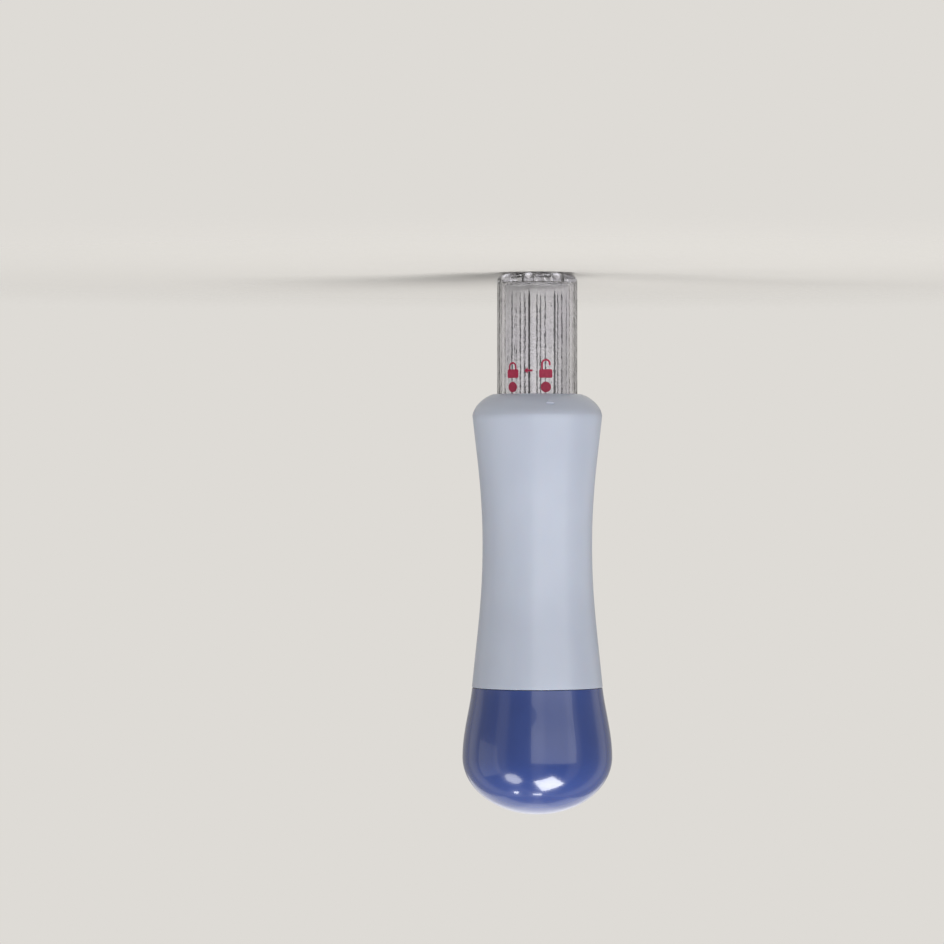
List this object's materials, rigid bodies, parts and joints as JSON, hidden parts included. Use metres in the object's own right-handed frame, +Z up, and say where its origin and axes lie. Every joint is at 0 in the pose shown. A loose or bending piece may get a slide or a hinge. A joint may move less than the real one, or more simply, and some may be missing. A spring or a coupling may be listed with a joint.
{
  "type": "felting needle punch",
  "caption": "Hand-held felting punch: waisted handle with a screw-off palm bulb, a ring of barbed needles and a clear, ribbed, sprung guard with a twist lock.",
  "frame": {"origin": "centre of the guard's flat end face, where the punch stands on the wool", "axes": "+Z up the punch's axis to the palm bulb, -Y towards the pointer on the handle's shoulder"},
  "size_m": [0.0298, 0.0298, 0.1074],
  "materials": {
    "pale_blue": "moulded, satin",
    "dark_blue": "moulded, polished",
    "clear": "clear, polished",
    "white": "moulded",
    "needle_steel": "bright drawn",
    "spring_steel": "bright drawn"
  },
  "bodies": {
    "handle": {"grip_body": "pale_blue", "lock_collar": "white", "needle_block": "white", "return_spring": "spring_steel", "needle_centre": "needle_steel", "needle_ring_1": "needle_steel", "needle_ring_2": "needle_steel", "needle_ring_3": "needle_steel", "needle_ring_4": "needle_steel", "needle_ring_5": "needle_steel", "needle_ring_6": "needle_steel"},
    "washer": {"thrust_washer": "white"},
    "guard": {"guard_tube": "clear"},
    "plate": {"clamp_plate": "white"},
    "cap": {"palm_cap": "dark_blue", "pin_socket": "white"}
  },
  "joints": [
    {"name": "guard_slide", "type": "slide", "parent": "handle", "child": "washer", "axis": [0, 0, 1], "range_m": [0, 0.013], "stiffness_N_per_m": 140, "springref_m": -0.013, "deforming": ["return_spring"]},
    {"name": "guard_turn", "type": "hinge", "parent": "washer", "child": "guard", "pos_m": [0, 0, 0.015], "axis": [0, 0, -1], "range_deg": [0, 50]},
    {"name": "cap_lift", "type": "slide", "parent": "handle", "child": "plate", "axis": [0, 0, 1], "range_m": [0, 0.0056]},
    {"name": "cap_turn", "type": "hinge", "parent": "plate", "child": "cap", "pos_m": [0, 0, 0.095], "axis": [0, 0, 1], "range_deg": [0, 720]}
  ],
  "couplings": [
    {"joint": "cap_lift", "follows": "cap_turn", "m_per_rad": 0.00044563}
  ]
}
